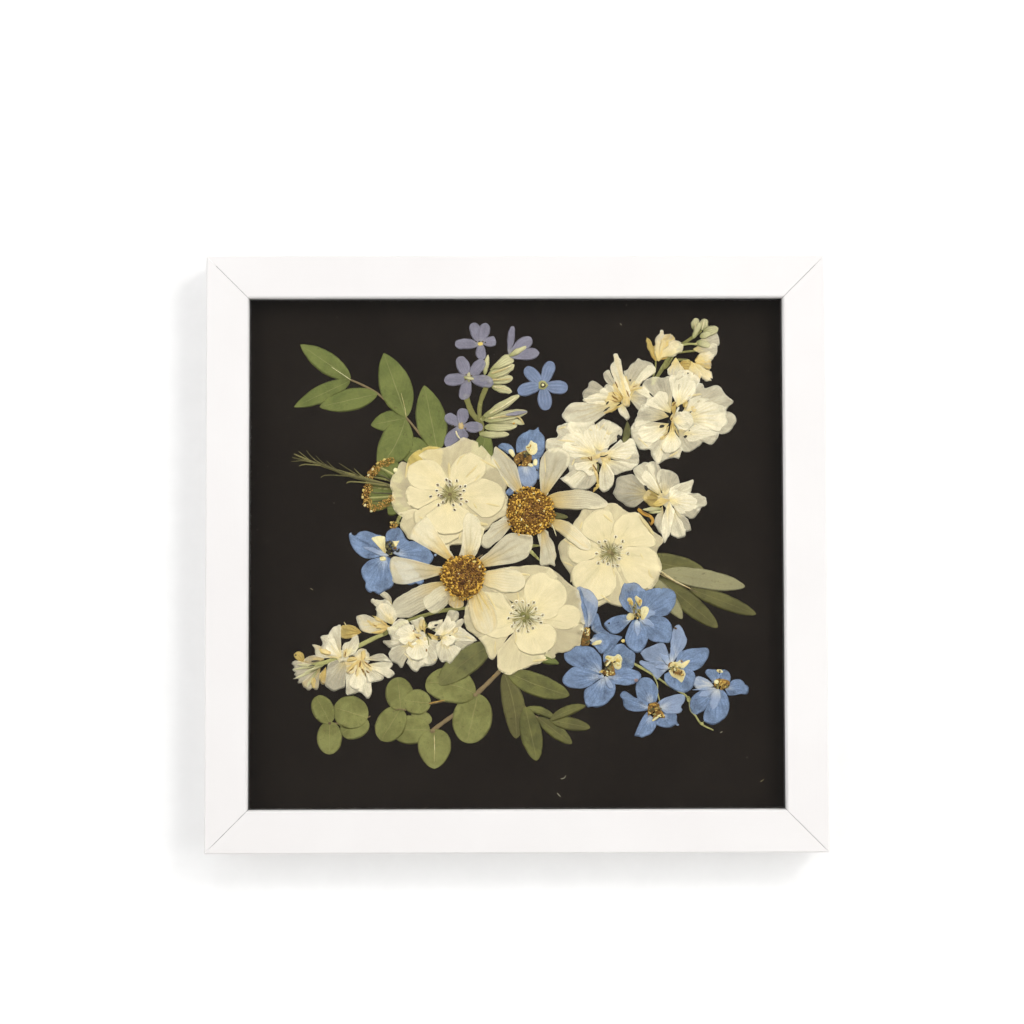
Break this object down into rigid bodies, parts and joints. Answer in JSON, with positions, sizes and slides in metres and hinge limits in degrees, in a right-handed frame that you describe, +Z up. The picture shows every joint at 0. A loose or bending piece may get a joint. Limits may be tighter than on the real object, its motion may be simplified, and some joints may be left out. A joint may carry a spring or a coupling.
{
  "type": "pressed flower frame",
  "caption": "Square white wooden picture frame with pressed roses, daisies, larkspur, delphinium and leaves laid on black card behind glass.",
  "frame": {"origin": "middle of the back face of the top rail, where the frame lies on the wall", "axes": "+X along the top rail to the viewer's right, +Y from the front towards the wall, +Z up"},
  "size_m": [0.353, 0.023, 0.339],
  "materials": {
    "white_paint": "matt white paint on wood",
    "clear_glass": "clear float glass",
    "black_card": "matt black card",
    "black_spacer": "matt",
    "hardboard": "smooth brown hardboard",
    "zinc_steel": "zinc plated",
    "leaf_green": "dry pressed leaf",
    "olive_leaf": "dry pressed leaf",
    "eucalyptus_green": "dry pressed leaf",
    "cream_petal": "dry pressed petal",
    "daisy_petal": "dry pressed petal",
    "white_larkspur": "dry pressed petal",
    "blue_petal": "dry pressed petal",
    "lilac_petal": "dry pressed petal",
    "tweedia_blue": "dry pressed petal",
    "golden_head": "dry pressed flower head",
    "straw_stem": "dry pressed stem"
  },
  "bodies": {
    "root": {"frame_rail_top": "white_paint", "frame_rail_bottom": "white_paint", "frame_rail_right": "white_paint", "frame_rail_left": "white_paint", "glass_pane": "clear_glass", "spacer_ring": "black_spacer", "mount_card": "black_card", "back_board": "hardboard", "retaining_tab_1": "zinc_steel", "retaining_tab_2": "zinc_steel", "retaining_tab_3": "zinc_steel", "retaining_tab_4": "zinc_steel", "retaining_tab_5": "zinc_steel", "retaining_tab_6": "zinc_steel", "sawtooth_hanger": "zinc_steel", "hanger_rivet_left": "zinc_steel", "hanger_rivet_right": "zinc_steel", "leaf_sprig_upper_left": "leaf_green", "leaf_behind_rose": "leaf_green", "lilac_sprig": "lilac_petal", "lilac_flower_top": "lilac_petal", "lilac_flower_middle": "lilac_petal", "lilac_flower_low": "lilac_petal", "tweedia_blue": "tweedia_blue", "delphinium_top": "blue_petal", "larkspur_tip_upper": "white_larkspur", "larkspur_floret_1": "white_larkspur", "larkspur_floret_2": "white_larkspur", "larkspur_floret_3": "white_larkspur", "larkspur_floret_4": "white_larkspur", "yarrow_head": "golden_head", "feather_grass": "straw_stem", "delphinium_left": "blue_petal", "rose_upper_left": "cream_petal", "rose_right": "cream_petal", "rose_lower": "cream_petal", "daisy_upper": "daisy_petal", "daisy_lower": "daisy_petal", "leaf_sprig_right": "olive_leaf", "delphinium_1": "blue_petal", "delphinium_2": "blue_petal", "delphinium_3": "blue_petal", "delphinium_4": "blue_petal", "delphinium_5": "blue_petal", "delphinium_6": "blue_petal", "delphinium_stem": "straw_stem", "larkspur_floret_5": "white_larkspur", "larkspur_floret_6": "white_larkspur", "larkspur_floret_7": "white_larkspur", "larkspur_tip_lower": "white_larkspur", "larkspur_floret_8": "white_larkspur", "larkspur_floret_9": "white_larkspur", "dark_leaf_lower": "olive_leaf", "leaf_sprig_lower": "leaf_green", "leaf_tip_lower": "leaf_green", "eucalyptus_left": "eucalyptus_green", "eucalyptus_middle": "eucalyptus_green", "eucalyptus_right": "eucalyptus_green"}
  },
  "joints": []
}
